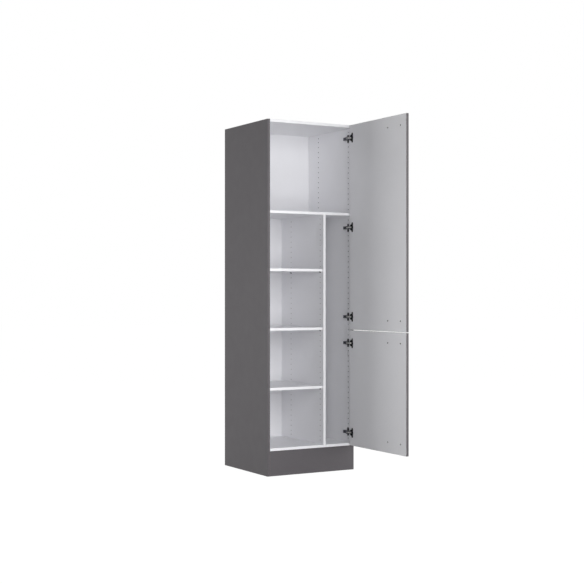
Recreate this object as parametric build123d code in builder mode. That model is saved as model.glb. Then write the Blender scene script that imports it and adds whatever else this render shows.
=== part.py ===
"""Tall utility cabinet with two right-hung doors, shown with both doors standing open at 90 degrees.

Millimetres, +Z up. The origin is on the floor, under the middle of the carcass front.
+X runs to the hinge side and +Y to the wall. Doors, links and cups are built in the open position.
"""

import os
from math import cos, radians, sqrt, tan

from build123d import *

os.makedirs("parts", exist_ok=True)

# Carcass
WIDTH = 600.0
HEIGHT = 2100.0
DEPTH = 555.0
BOARD = 16.0
PLINTH_HEIGHT = 148.0
LEFT_BAY = 367.0  # clear width left of the divider
BACK_THICK = 3.0
BACK_RECESS = 41.0  # space kept free behind the back panel
GROOVE_DEPTH = 8.0
GROOVE_CLEAR = 0.2

# Rows of holes for shelf pins and hinge plates
PITCH = 32.0
ROW_FRONT = 37.0  # first row behind the front edge
ROW_REAR = 389.0
ROW_END = 40.0  # first and last hole, from the carcass ends
HOLE_R = 2.5
HOLE_DEPTH = 11.0
HOLE_FIT = 0.05
HOLE_SIDES = 4  # there are hundreds of row holes, so they are cut with flat sides

# Shelves
FIXED_SHELF_STEP = 44  # steps of the pitch above the carcass underside
PIN_STEPS = (11, 22, 33)  # pin rows under the three adjustable shelves
SHELF_SETBACK = 9.0
SHELF_END_CLEAR = 1.0
SHELF_BACK_CLEAR = 2.0
PIN_STEM = 10.0
PIN_REACH = 8.0  # how far a pin stands out of the board
PIN_COLLAR = 9.0
PIN_COLLAR_THICK = 0.9
PIN_SPOON_WIDE = 6.0
PIN_SPOON_THICK = 2.5

# Doors
DOOR_THICK = 16.0
DOOR_REVEAL = 2.0  # edge of a closed door to the edge of the carcass, and half of the gap between doors
DOOR_GAP = 2.0  # closed door to carcass front
DOOR_SPLIT_STEP = 22  # steps of the pitch up to the gap between the doors
OPEN_INSET = 17.5  # inner face of an open door, inside the side panel
OPEN_FORWARD = 4.8  # hinge edge of an open door, ahead of the carcass front

# Handles
HANDLE_SPAN = 128.0  # hole to hole
HANDLE_FROM_EDGE = 58.0  # nearer hole to the free edge
HANDLE_FROM_END = 64.0  # holes to the end of the door's module
HANDLE_RISE = 28.0
HANDLE_WIDE = 12.0
HANDLE_BAR = 7.0
HANDLE_FOOT = 10.0
HANDLE_ROUND = 9.0
SCREW_CLEAR = 0.3
HANDLE_SCREW_R = 2.0
HANDLE_SCREW_BITE = 8.0
HANDLE_HEAD_R = 4.0
HANDLE_HEAD_HIGH = 2.4
PILOT_R = 2.5
PILOT_DEPTH = 12.0

# Concealed hinges: cup
HINGE_FROM_END = 80.0  # hinge centre to the end of the door's module
CUP_FROM_EDGE = 21.5
CUP_R = 17.5
CUP_WALL = 1.1
CUP_DEPTH = 12.2
CUP_FLOOR = 0.6
CUP_CLEAR = 0.1
FLANGE_THICK = 1.2
FLANGE_R = 19.0
CUP_SCREW_SPAN = 45.0
CUP_SCREW_SET = 9.5  # cup screws beyond the cup centre, towards the free edge
CUP_SCREW_R = 1.75
CUP_SCREW_LENGTH = 11.0
CUP_HEAD_R = 4.0
CUP_HEAD_HIGH = 1.6
EAR_R = 7.5

# Concealed hinges: pivots and links
OUTER_PIN_FROM_EDGE = 9.7
OUTER_PIN_DEEP = 2.8
OUTER_TURN = -43.5  # turn of the outer link while the door opens from closed to 90 degrees
INNER_PIN_FROM_EDGE = 16.1
INNER_PIN_DEEP = 2.6
NOSE_PIN_INSET = 31.2  # inner link's arm pin, from the side panel
NOSE_PIN_BACK = 5.0  # and behind the carcass front
PIVOT_R = 1.25
PIVOT_CLEAR = 0.05
PIN_END_CLEAR = 0.4
EYE_R = 2.6
LOOSE_EYE_R = 3.4  # the inner link's eye has room for the slip of a plain turning ratio
LINK_HALF = 1.5
OUTER_LINK_WIDE = 8.0  # the outer link runs between the two cheeks of the inner link
CHEEK_THICK = 2.0
LINK_SIDE_CLEAR = 0.6
OUTER_SHOULDER = (2.2, -6.7)  # bends of the links beside an open door: from its edge, above its face
OUTER_KNEE = (12.4, -3.6)
INNER_KNEE = (10.7, -3.3)

# Concealed hinges: arm and mounting plate
ARM_WALL = 1.6
ARM_TAIL = 67.0  # rear end of the arm behind the carcass front
ARM_FRONT = 18.0  # where the nose leaves the straight part
ARM_TOP = 20.0  # height of the arm over the side panel
ARM_SOLID = 34.0  # the arm is closed from here to its tail
NOSE_R = 4.0
PLATE_WING = 50.0
PLATE_WIDE = 14.0
PLATE_THICK = 2.2
PLATE_CORNER = 3.0
SADDLE_HIGH = 5.0
SADDLE_FRONT = 20.0
SADDLE_TAIL = 61.0
SADDLE_HALF = 6.5
PLATE_SCREW_BITE = 10.0
PLATE_HEAD_R = 4.0
PLATE_HEAD_HIGH = 1.6
ARM_SCREW_R = 2.5
ARM_HEAD_R = 3.8
ARM_HEAD_HIGH = 1.5
ADJUST_SCREW_BACK = 37.0
FIX_SCREW_BACK = 53.0
ADJUST_DEEP = 6.0

# Dowels that hold the carcass together
DOWEL_R = 4.0
DOWEL_LONG = 30.0
DOWEL_IN = 11.0  # share of a dowel that sits in the board face
DOWEL_CLEAR = 0.1
DOWEL_ENDS = 40.0  # dowel to the end of a joint
DOWEL_SIDES = 5

# Small turned pieces and their holes are cut with this many flat sides
CUP_SIDES = 14
EYE_SIDES = 8
PIN_SIDES = 8
HEAD_SIDES = 6
SHANK_SIDES = 4

# Values that follow from the sizes above
SIDE_IN = WIDTH / 2 - BOARD
BASE_Z = PLINTH_HEIGHT
TOP_Z = HEIGHT
BACK_Y = DEPTH - BACK_RECESS - BACK_THICK
DIVIDER_X = -SIDE_IN + LEFT_BAY
FIXED_Z = BASE_Z + FIXED_SHELF_STEP * PITCH
SPLIT_Z = BASE_Z + DOOR_SPLIT_STEP * PITCH
DOOR_WIDE = WIDTH - 2 * DOOR_REVEAL
DOOR_IN_X = SIDE_IN - OPEN_INSET
DOOR_OUT_X = DOOR_IN_X + DOOR_THICK
DOOR_EDGE_Y = -OPEN_FORWARD
HINGES = {
    "lower": (BASE_Z + HINGE_FROM_END, SPLIT_Z - HINGE_FROM_END),
    "upper": (SPLIT_Z + HINGE_FROM_END, (SPLIT_Z + TOP_Z) / 2, TOP_Z - HINGE_FROM_END),
}
HINGE_Z = HINGES["lower"] + HINGES["upper"]
DOOR_SPANS = {
    "lower": (BASE_Z + DOOR_REVEAL, SPLIT_Z - DOOR_REVEAL),
    "upper": (SPLIT_Z + DOOR_REVEAL, TOP_Z - DOOR_REVEAL),
}
HANDLE_Z = {"lower": SPLIT_Z - HANDLE_FROM_END, "upper": SPLIT_Z + HANDLE_FROM_END}
SPARE_Z = {"lower": BASE_Z + HANDLE_FROM_END, "upper": TOP_Z - HANDLE_FROM_END}
HANDLE_P = (DOOR_WIDE - HANDLE_FROM_EDGE - HANDLE_SPAN, DOOR_WIDE - HANDLE_FROM_EDGE)
ROW_STEPS = range(2, int((TOP_Z - BASE_Z) / PITCH + 0.01) - 1)
ROW_Z = [BASE_Z + ROW_END] + [BASE_Z + PITCH * step for step in ROW_STEPS] + [TOP_Z - ROW_END]
PLATE_Z = [z + half for z in HINGE_Z for half in (-PITCH / 2, PITCH / 2)]


def door_point(from_edge, deep):
    """Plan position, beside an open door, of a point given from its hinge edge and into its inner face."""
    return (DOOR_IN_X + deep, DOOR_EDGE_Y - from_edge)


def closed_point(from_edge, deep):
    """Plan position of the same point of the door when it is closed."""
    return (WIDTH / 2 - DOOR_REVEAL - from_edge, -DOOR_GAP - deep)


def turning_centre(start, end, turn):
    """Plan point about which a turn of so many degrees carries start to end."""
    reach = 0.5 / tan(radians(turn) / 2)
    run, rise = end[0] - start[0], end[1] - start[1]
    return ((start[0] + end[0]) / 2 - reach * rise, (start[1] + end[1]) / 2 + reach * run)


OUTER_CUP_PIN = door_point(OUTER_PIN_FROM_EDGE, OUTER_PIN_DEEP)
INNER_CUP_PIN = door_point(INNER_PIN_FROM_EDGE, INNER_PIN_DEEP)
OUTER_ARM_PIN = turning_centre(closed_point(OUTER_PIN_FROM_EDGE, OUTER_PIN_DEEP), OUTER_CUP_PIN, OUTER_TURN)
INNER_ARM_PIN = (SIDE_IN - NOSE_PIN_INSET, NOSE_PIN_BACK)
CUP_CENTRE = door_point(CUP_FROM_EDGE, 0)
CHEEK_IN = OUTER_LINK_WIDE / 2 + LINK_SIDE_CLEAR
CHEEK_OUT = CHEEK_IN + CHEEK_THICK
ARM_IN = CHEEK_OUT + LINK_SIDE_CLEAR
ARM_OUT = ARM_IN + ARM_WALL


def plank(x_span, y_span, z_span, mode=Mode.ADD):
    """A board between two values on each axis."""
    middle = [sum(span) / 2 for span in (x_span, y_span, z_span)]
    size = [span[1] - span[0] for span in (x_span, y_span, z_span)]
    with Locations(tuple(middle)):
        Box(*size, mode=mode)


def along_x(x, points, radius, sides, depth, mode=Mode.SUBTRACT):
    """Rods or holes along X from the plane at x, at (Y, Z) points, round where sides is 0.

    A negative depth runs to -X.
    """
    with BuildSketch(Plane(origin=(x, 0, 0), x_dir=(0, 1, 0), z_dir=(1, 0, 0))) as ends:
        with Locations(*points):
            if sides:
                RegularPolygon(radius, sides)
            else:
                Circle(radius)
    extrude(ends.sketch, amount=depth, mode=mode)


def along_z(z, points, radius, sides, height, mode=Mode.ADD, turn=0):
    """Rods or holes along Z from the plane at z, at (X, Y) points, turned by so many degrees."""
    with BuildSketch(Plane.XY.offset(z)) as ends:
        with Locations(*points):
            RegularPolygon(radius, sides, rotation=turn)
    extrude(ends.sketch, amount=height, mode=mode)


def pivot_pins(z, points, height):
    """Pivot pins along Z, their corners turned to the flats of the eyes that run on them."""
    along_z(z, points, PIVOT_R, PIN_SIDES, height, turn=180 / PIN_SIDES)


def bent_bar(path, half, overhang):
    """Corners of a flat bar along a bent path, mitred at its bends and run past both ends."""
    points = [Vector(*point) for point in path]
    runs = [(b - a).normalized() for a, b in zip(points, points[1:])]
    points[0] -= runs[0] * overhang
    points[-1] += runs[-1] * overhang
    left, right = [], []
    for index, point in enumerate(points):
        before, after = runs[max(index - 1, 0)], runs[min(index, len(runs) - 1)]
        normal = (before + after).normalized().rotate(Axis.Z, 90)
        reach = half / sqrt((1 + before.dot(after)) / 2)
        left.append(point + normal * reach)
        right.append(point - normal * reach)
    return [(corner.X, corner.Y) for corner in left + right[::-1]]


def save(part, name):
    """Label a finished piece and write it."""
    part.label = name
    export_step(part, f"parts/{name}.step")


# Joints of the carcass, as the places of their dowels
DOWEL_REST = DOWEL_LONG - DOWEL_IN
DOWEL_Y = (DOWEL_ENDS, BACK_Y - DOWEL_ENDS)
BOARD_DOWELS = [(y, z) for y in DOWEL_Y for z in (BASE_Z + BOARD / 2, FIXED_Z, TOP_Z - BOARD / 2)]
PLINTH_DOWELS = [(BOARD / 2, z) for z in (DOWEL_ENDS, PLINTH_HEIGHT - DOWEL_ENDS)]
DIVIDER_DOWELS = [(DIVIDER_X + BOARD / 2, y) for y in DOWEL_Y]
DIVIDER_Z = (BASE_Z + BOARD, FIXED_Z - BOARD / 2)
GROOVE_Y = (BACK_Y - GROOVE_CLEAR, BACK_Y + BACK_THICK + GROOVE_CLEAR)

# Side panels. Below the fixed shelf the right one has only the front row, for the hinges
for name, sign in (("left_side_panel", -1), ("right_side_panel", 1)):
    rear_from = BASE_Z if sign < 0 else FIXED_Z
    plate_z = [] if sign < 0 else PLATE_Z
    front_z = [z for z in ROW_Z if all(abs(z - plate) > 3 * HOLE_R for plate in plate_z)]
    rows = [(ROW_FRONT, z) for z in front_z] + [(ROW_REAR, z) for z in ROW_Z if z > rear_from]
    rows = [(y, z) for y, z in rows if abs(z - FIXED_Z) > BOARD / 2 + HOLE_R]
    rows += [(ROW_FRONT, z) for z in plate_z]
    with BuildPart() as side_panel:
        plank(sorted((sign * SIDE_IN, sign * WIDTH / 2)), (0, DEPTH), (0, TOP_Z))
        along_x(sign * SIDE_IN, rows, HOLE_R, HOLE_SIDES, sign * HOLE_DEPTH)
        along_x(sign * SIDE_IN, BOARD_DOWELS + PLINTH_DOWELS, DOWEL_R, DOWEL_SIDES, sign * DOWEL_IN)
        groove_x = sorted((sign * SIDE_IN, sign * (SIDE_IN + GROOVE_DEPTH)))
        plank(groove_x, GROOVE_Y, (BASE_Z, TOP_Z), Mode.SUBTRACT)
    save(side_panel.part, name)

# Boards between the sides
CROSS_BOARDS = {
    "top_panel": (TOP_Z - BOARD, DEPTH, (TOP_Z - BOARD, TOP_Z - BOARD + GROOVE_DEPTH)),
    "fixed_shelf": (FIXED_Z - BOARD / 2, BACK_Y, None),
    "bottom_panel": (BASE_Z, DEPTH, (BASE_Z + BOARD - GROOVE_DEPTH, BASE_Z + BOARD)),
}
for name, (z, depth, groove_z) in CROSS_BOARDS.items():
    with BuildPart() as cross_board:
        plank((-SIDE_IN, SIDE_IN), (0, depth), (z, z + BOARD))
        for sign in (-1, 1):
            end_dowels = [(y, z + BOARD / 2) for y in DOWEL_Y]
            along_x(sign * SIDE_IN, end_dowels, DOWEL_R, DOWEL_SIDES, -sign * DOWEL_REST)
        if name == "fixed_shelf":
            along_z(z, DIVIDER_DOWELS, DOWEL_R, DOWEL_SIDES, DOWEL_IN, Mode.SUBTRACT)
        if name == "bottom_panel":
            along_z(z + BOARD, DIVIDER_DOWELS, DOWEL_R, DOWEL_SIDES, -DOWEL_IN, Mode.SUBTRACT)
        if groove_z:
            plank((-SIDE_IN, SIDE_IN), GROOVE_Y, groove_z, Mode.SUBTRACT)
    save(cross_board.part, name)

with BuildPart() as centre_divider:
    plank((DIVIDER_X, DIVIDER_X + BOARD), (0, BACK_Y), DIVIDER_Z)
    divider_rows = [(y, z) for y in (ROW_FRONT, ROW_REAR) for z in ROW_Z if DIVIDER_Z[0] < z < DIVIDER_Z[1]]
    along_x(DIVIDER_X, divider_rows, HOLE_R, HOLE_SIDES, HOLE_DEPTH)
    along_z(DIVIDER_Z[0], DIVIDER_DOWELS, DOWEL_R, DOWEL_SIDES, DOWEL_REST, Mode.SUBTRACT)
    along_z(DIVIDER_Z[1], DIVIDER_DOWELS, DOWEL_R, DOWEL_SIDES, -DOWEL_REST, Mode.SUBTRACT)
save(centre_divider.part, "centre_divider")

with BuildPart() as back_panel:
    back_reach = SIDE_IN + GROOVE_DEPTH - GROOVE_CLEAR
    back_z = (BASE_Z + BOARD - GROOVE_DEPTH + GROOVE_CLEAR, TOP_Z - BOARD + GROOVE_DEPTH - GROOVE_CLEAR)
    plank((-back_reach, back_reach), (BACK_Y, BACK_Y + BACK_THICK), back_z)
save(back_panel.part, "back_panel")

with BuildPart() as plinth_panel:
    plank((-SIDE_IN, SIDE_IN), (0, BOARD), (0, PLINTH_HEIGHT))
    for sign in (-1, 1):
        along_x(sign * SIDE_IN, PLINTH_DOWELS, DOWEL_R, DOWEL_SIDES, -sign * DOWEL_REST)
save(plinth_panel.part, "plinth_panel")

with BuildPart() as dowels:
    thick, length = DOWEL_R - DOWEL_CLEAR, DOWEL_LONG - 2 * DOWEL_CLEAR
    for sign in (-1, 1):
        start = sign * (SIDE_IN + DOWEL_IN - DOWEL_CLEAR)
        along_x(start, BOARD_DOWELS + PLINTH_DOWELS, thick, DOWEL_SIDES, -sign * length, Mode.ADD)
    for start in (DIVIDER_Z[0] - DOWEL_IN, DIVIDER_Z[1] - DOWEL_REST):
        along_z(start + DOWEL_CLEAR, DIVIDER_DOWELS, thick, DOWEL_SIDES, length)
save(dowels.part, "wooden_dowels")

# Adjustable shelves and their pins
shelf_x = (-SIDE_IN + SHELF_END_CLEAR, DIVIDER_X - SHELF_END_CLEAR)
for number, step in enumerate(PIN_STEPS, start=1):
    shelf_z = BASE_Z + step * PITCH + HOLE_R
    with BuildPart() as shelf:
        plank(shelf_x, (SHELF_SETBACK, BACK_Y - SHELF_BACK_CLEAR), (shelf_z, shelf_z + BOARD))
    save(shelf.part, f"adjustable_shelf_{number}")

with BuildPart() as shelf_pins:
    pin_places = [(y, BASE_Z + step * PITCH) for y in (ROW_FRONT, ROW_REAR) for step in PIN_STEPS]
    for wall, sign in ((-SIDE_IN, 1), (DIVIDER_X, -1)):
        along_x(wall, pin_places, HOLE_R - HOLE_FIT, HOLE_SIDES, -sign * PIN_STEM, Mode.ADD)
        collar_places = [(y, z - PIN_COLLAR / 2 + HOLE_R) for y, z in pin_places]
        with BuildSketch(Plane(origin=(wall, 0, 0), x_dir=(0, 1, 0), z_dir=(1, 0, 0))):
            with Locations(*collar_places):
                Rectangle(PIN_COLLAR, PIN_COLLAR)
        extrude(amount=sign * PIN_COLLAR_THICK)
        spoon_places = [(y, z + HOLE_R - PIN_SPOON_THICK / 2) for y, z in pin_places]
        with BuildSketch(Plane(origin=(wall, 0, 0), x_dir=(0, 1, 0), z_dir=(1, 0, 0))):
            with Locations(*spoon_places):
                Rectangle(PIN_SPOON_WIDE, PIN_SPOON_THICK)
        extrude(amount=sign * PIN_REACH)
save(shelf_pins.part, "shelf_pins")

# Hinge plates and arms on the right side panel
for number, z in enumerate(HINGE_Z, start=1):
    plate_holes = [(ROW_FRONT, z + half_pitch) for half_pitch in (-PITCH / 2, PITCH / 2)]
    with BuildPart() as plate:
        with BuildSketch(Plane(origin=(SIDE_IN, ROW_FRONT, z), x_dir=(0, 1, 0), z_dir=(1, 0, 0))) as wing:
            Rectangle(PLATE_WIDE, PLATE_WING)
            chamfer(wing.vertices(), PLATE_CORNER)
        extrude(amount=-PLATE_THICK)
        saddle_z = (z - SADDLE_HALF, z + SADDLE_HALF)
        plank((SIDE_IN - SADDLE_HIGH, SIDE_IN), (SADDLE_FRONT, SADDLE_TAIL), saddle_z)
        along_x(SIDE_IN, plate_holes, HOLE_R, HOLE_SIDES, -PLATE_THICK)
        saddle_hole = SADDLE_HIGH - PLATE_THICK
        along_x(SIDE_IN - SADDLE_HIGH, [(FIX_SCREW_BACK, z)], ARM_SCREW_R, SHANK_SIDES, saddle_hole)
    save(plate.part, f"hinge_{number}_plate")

    with BuildPart() as arm:
        with BuildSketch(Plane.XY.offset(z - ARM_OUT)):
            with BuildLine():
                Polyline(
                    (SIDE_IN - SADDLE_HIGH, ARM_TAIL),
                    (SIDE_IN - SADDLE_HIGH, ARM_FRONT),
                    (OUTER_ARM_PIN[0] + NOSE_R, OUTER_ARM_PIN[1] - NOSE_R),
                    (INNER_ARM_PIN[0] + NOSE_R / 2, INNER_ARM_PIN[1] - NOSE_R),
                    (INNER_ARM_PIN[0] - NOSE_R / 2, INNER_ARM_PIN[1] - NOSE_R),
                    (INNER_ARM_PIN[0] - NOSE_R, INNER_ARM_PIN[1] - NOSE_R / 2),
                    (INNER_ARM_PIN[0] - NOSE_R, INNER_ARM_PIN[1] + NOSE_R / 2),
                    (SIDE_IN - ARM_TOP, ARM_FRONT + NOSE_R),
                    (SIDE_IN - ARM_TOP, ARM_TAIL - NOSE_R),
                    (SIDE_IN - ARM_TOP + NOSE_R, ARM_TAIL),
                    close=True,
                )
            make_face()
        extrude(amount=2 * ARM_OUT)
        inside_z = (z - ARM_IN, z + ARM_IN)
        slot_x = (INNER_ARM_PIN[0] - 2 * NOSE_R, SIDE_IN)
        plank(slot_x, (INNER_ARM_PIN[1] - 2 * NOSE_R, ARM_FRONT + NOSE_R), inside_z, Mode.SUBTRACT)
        under_x = (SIDE_IN - ARM_TOP + ARM_WALL, SIDE_IN)
        plank(under_x, (ARM_FRONT, ARM_SOLID), inside_z, Mode.SUBTRACT)
        along_x(SIDE_IN - ARM_TOP, [(FIX_SCREW_BACK, z)], ARM_SCREW_R, SHANK_SIDES, ARM_TOP - SADDLE_HIGH)
        along_x(SIDE_IN - ARM_TOP, [(ADJUST_SCREW_BACK, z)], ARM_SCREW_R, SHANK_SIDES, ADJUST_DEEP)
    save(arm.part, f"hinge_{number}_arm")

    outer_path = [
        OUTER_ARM_PIN,
        door_point(*OUTER_SHOULDER),
        door_point(*OUTER_KNEE),
        OUTER_CUP_PIN,
    ]
    with BuildPart() as outer_link:
        with BuildSketch(Plane.XY.offset(z - OUTER_LINK_WIDE / 2)):
            Polygon(*bent_bar(outer_path, LINK_HALF, 0), align=None)
            with Locations(OUTER_ARM_PIN, OUTER_CUP_PIN):
                RegularPolygon(EYE_R, EYE_SIDES)
                RegularPolygon(PIVOT_R + PIVOT_CLEAR, EYE_SIDES, major_radius=False, mode=Mode.SUBTRACT)
        extrude(amount=OUTER_LINK_WIDE)
    save(outer_link.part, f"hinge_{number}_outer_link")

    inner_path = [INNER_ARM_PIN, door_point(*INNER_KNEE), INNER_CUP_PIN]
    loose_eye = LOOSE_EYE_R + LINK_HALF
    tail_run = (Vector(*inner_path[0]) - Vector(*inner_path[1])).normalized()
    tail = [Vector(*INNER_ARM_PIN) + tail_run * reach for reach in (LOOSE_EYE_R, loose_eye)]
    with BuildPart() as inner_link:
        for start in (z - CHEEK_OUT, z + CHEEK_IN):
            with BuildSketch(Plane.XY.offset(start)):
                Polygon(*bent_bar(inner_path, LINK_HALF, 0), align=None)
                with Locations(INNER_ARM_PIN):
                    RegularPolygon(loose_eye, EYE_SIDES, major_radius=False)
                    RegularPolygon(LOOSE_EYE_R, EYE_SIDES, major_radius=False, mode=Mode.SUBTRACT)
                with Locations(INNER_CUP_PIN):
                    RegularPolygon(EYE_R, EYE_SIDES)
                    RegularPolygon(PIVOT_R + PIVOT_CLEAR, EYE_SIDES, major_radius=False, mode=Mode.SUBTRACT)
            extrude(amount=CHEEK_THICK)
        with BuildSketch(Plane.XY.offset(z - CHEEK_IN)):
            Polygon(*bent_bar([(point.X, point.Y) for point in tail], LINK_HALF, 0), align=None)
        extrude(amount=2 * CHEEK_IN)
    save(inner_link.part, f"hinge_{number}_inner_link")

with BuildPart() as plate_screws:
    plate_places = [(ROW_FRONT, z) for z in PLATE_Z]
    plate_shank = PLATE_THICK + PLATE_SCREW_BITE
    along_x(SIDE_IN - PLATE_THICK, plate_places, HOLE_R - HOLE_FIT, HOLE_SIDES, plate_shank, Mode.ADD)
    along_x(SIDE_IN - PLATE_THICK, plate_places, PLATE_HEAD_R, HEAD_SIDES, -PLATE_HEAD_HIGH, Mode.ADD)
save(plate_screws.part, "hinge_plate_screws")

with BuildPart() as arm_screws:
    fixing = [(FIX_SCREW_BACK, z) for z in HINGE_Z]
    adjusting = [(ADJUST_SCREW_BACK, z) for z in HINGE_Z]
    fix_long = ARM_TOP - PLATE_THICK - HOLE_FIT
    adjust_long = ADJUST_DEEP - HOLE_FIT
    along_x(SIDE_IN - ARM_TOP, fixing, ARM_SCREW_R - HOLE_FIT, SHANK_SIDES, fix_long, Mode.ADD)
    along_x(SIDE_IN - ARM_TOP, adjusting, ARM_SCREW_R - HOLE_FIT, SHANK_SIDES, adjust_long, Mode.ADD)
    along_x(SIDE_IN - ARM_TOP, fixing + adjusting, ARM_HEAD_R, HEAD_SIDES, -ARM_HEAD_HIGH, Mode.ADD)
save(arm_screws.part, "hinge_arm_screws")

with BuildPart() as arm_pins:
    for z in HINGE_Z:
        pivot_pins(z - ARM_IN, [OUTER_ARM_PIN, INNER_ARM_PIN], 2 * ARM_IN)
save(arm_pins.part, "hinge_arm_pins")

# Doors with their cups, pins, screws and handles
CUP_IN_R = CUP_R - CUP_WALL


def cup_half(from_edge):
    """Half the length of a pin that lies across the cup, so far from the hinge edge."""
    flat_r = CUP_IN_R * cos(radians(180 / CUP_SIDES))
    return sqrt(flat_r**2 - (CUP_FROM_EDGE - from_edge + PIVOT_R) ** 2) - CUP_CLEAR


for door_name, (z_low, z_high) in DOOR_SPANS.items():
    cup_zs = HINGES[door_name]
    first = HINGE_Z.index(cup_zs[0]) + 1
    cup_points = [(CUP_CENTRE[1], z) for z in cup_zs]
    screw_y = CUP_CENTRE[1] - CUP_SCREW_SET
    cup_screw_halves = (-CUP_SCREW_SPAN / 2, CUP_SCREW_SPAN / 2)
    cup_screws_at = [(screw_y, z + half) for z in cup_zs for half in cup_screw_halves]
    handle_at = [(DOOR_EDGE_Y - p, HANDLE_Z[door_name]) for p in HANDLE_P]
    spare_at = [(DOOR_EDGE_Y - p, SPARE_Z[door_name]) for p in HANDLE_P]

    with BuildPart() as door_panel:
        plank((DOOR_IN_X, DOOR_OUT_X), (DOOR_EDGE_Y - DOOR_WIDE, DOOR_EDGE_Y), (z_low, z_high))
        along_x(DOOR_IN_X, cup_points, CUP_R + CUP_CLEAR, CUP_SIDES, CUP_DEPTH + CUP_CLEAR)
        along_x(DOOR_IN_X, cup_screws_at, CUP_SCREW_R, SHANK_SIDES, CUP_SCREW_LENGTH)
        along_x(DOOR_IN_X, handle_at, HANDLE_SCREW_R + SCREW_CLEAR, SHANK_SIDES, DOOR_THICK)
        along_x(DOOR_IN_X, spare_at, PILOT_R, 0, PILOT_DEPTH)
    save(door_panel.part, f"{door_name}_door_panel")

    for number, z in enumerate(cup_zs, start=first):
        with BuildPart() as cup:
            with BuildSketch(Plane(origin=(DOOR_IN_X, 0, z), x_dir=(0, 1, 0), z_dir=(1, 0, 0))):
                with Locations((CUP_CENTRE[1], 0)):
                    RegularPolygon(FLANGE_R, CUP_SIDES)
                with Locations((screw_y, 0)):
                    Rectangle(2 * EAR_R, CUP_SCREW_SPAN + 2 * EAR_R)
            extrude(amount=-FLANGE_THICK)
            ears = cup.edges().filter_by(Axis.X).group_by(Axis.Z)
            chamfer(ears[0] + ears[-1], EAR_R / 2)
            along_x(DOOR_IN_X, [(CUP_CENTRE[1], z)], CUP_R, CUP_SIDES, CUP_DEPTH, Mode.ADD)
            cup_inside = FLANGE_THICK + CUP_DEPTH - CUP_FLOOR
            along_x(DOOR_IN_X - FLANGE_THICK, [(CUP_CENTRE[1], z)], CUP_IN_R, CUP_SIDES, cup_inside)
            ear_holes = [(screw_y, z + half) for half in cup_screw_halves]
            along_x(DOOR_IN_X, ear_holes, CUP_SCREW_R, SHANK_SIDES, -FLANGE_THICK)
        save(cup.part, f"hinge_{number}_cup")

    with BuildPart() as cup_pins:
        for z in cup_zs:
            outer_half = cup_half(OUTER_PIN_FROM_EDGE)
            pivot_pins(z - outer_half, [OUTER_CUP_PIN], 2 * outer_half)
            stub = cup_half(INNER_PIN_FROM_EDGE) - OUTER_LINK_WIDE / 2 - PIN_END_CLEAR
            for sign in (-1, 1):
                stub_z = z + sign * (OUTER_LINK_WIDE / 2 + PIN_END_CLEAR)
                pivot_pins(stub_z, [INNER_CUP_PIN], sign * stub)
    save(cup_pins.part, f"{door_name}_cup_pins")

    with BuildPart() as cup_screws:
        shank = CUP_SCREW_LENGTH + FLANGE_THICK - HOLE_FIT
        along_x(DOOR_IN_X - FLANGE_THICK, cup_screws_at, CUP_SCREW_R - HOLE_FIT, SHANK_SIDES, shank, Mode.ADD)
        along_x(DOOR_IN_X - FLANGE_THICK, cup_screws_at, CUP_HEAD_R, HEAD_SIDES, -CUP_HEAD_HIGH, Mode.ADD)
    save(cup_screws.part, f"{door_name}_cup_screws")

    handle_ends = [DOOR_EDGE_Y - p for p in HANDLE_P]
    with BuildPart() as handle:
        near, far = handle_ends[1] - HANDLE_FOOT / 2, handle_ends[0] + HANDLE_FOOT / 2
        with BuildSketch(Plane.XY.offset(HANDLE_Z[door_name] - HANDLE_WIDE / 2)) as bow:
            with Locations((DOOR_OUT_X + HANDLE_RISE / 2, (near + far) / 2)):
                Rectangle(HANDLE_RISE, far - near)
            outer_corners = bow.vertices().sort_by(Axis.X)[-2:]
            fillet(outer_corners, HANDLE_ROUND + HANDLE_BAR)
            gap_rise = 2 * (HANDLE_RISE - HANDLE_BAR)
            with Locations((DOOR_OUT_X, (near + far) / 2)):
                RectangleRounded(gap_rise, far - near - 2 * HANDLE_FOOT, HANDLE_ROUND, mode=Mode.SUBTRACT)
        extrude(amount=HANDLE_WIDE)
        along_x(DOOR_OUT_X, handle_at, HANDLE_SCREW_R, SHANK_SIDES, HANDLE_SCREW_BITE)
    save(handle.part, f"{door_name}_handle")

    with BuildPart() as handle_screws:
        shank_long = DOOR_THICK + HANDLE_SCREW_BITE - HOLE_FIT
        along_x(DOOR_IN_X, handle_at, HANDLE_SCREW_R - HOLE_FIT, SHANK_SIDES, shank_long, Mode.ADD)
        along_x(DOOR_IN_X, handle_at, HANDLE_HEAD_R, HEAD_SIDES, -HANDLE_HEAD_HIGH, Mode.ADD)
    save(handle_screws.part, f"{door_name}_handle_screws")
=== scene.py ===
"""Tall utility cabinet with both doors open: melamine-faced boards, concealed hinges and bow handles."""

import math

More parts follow.
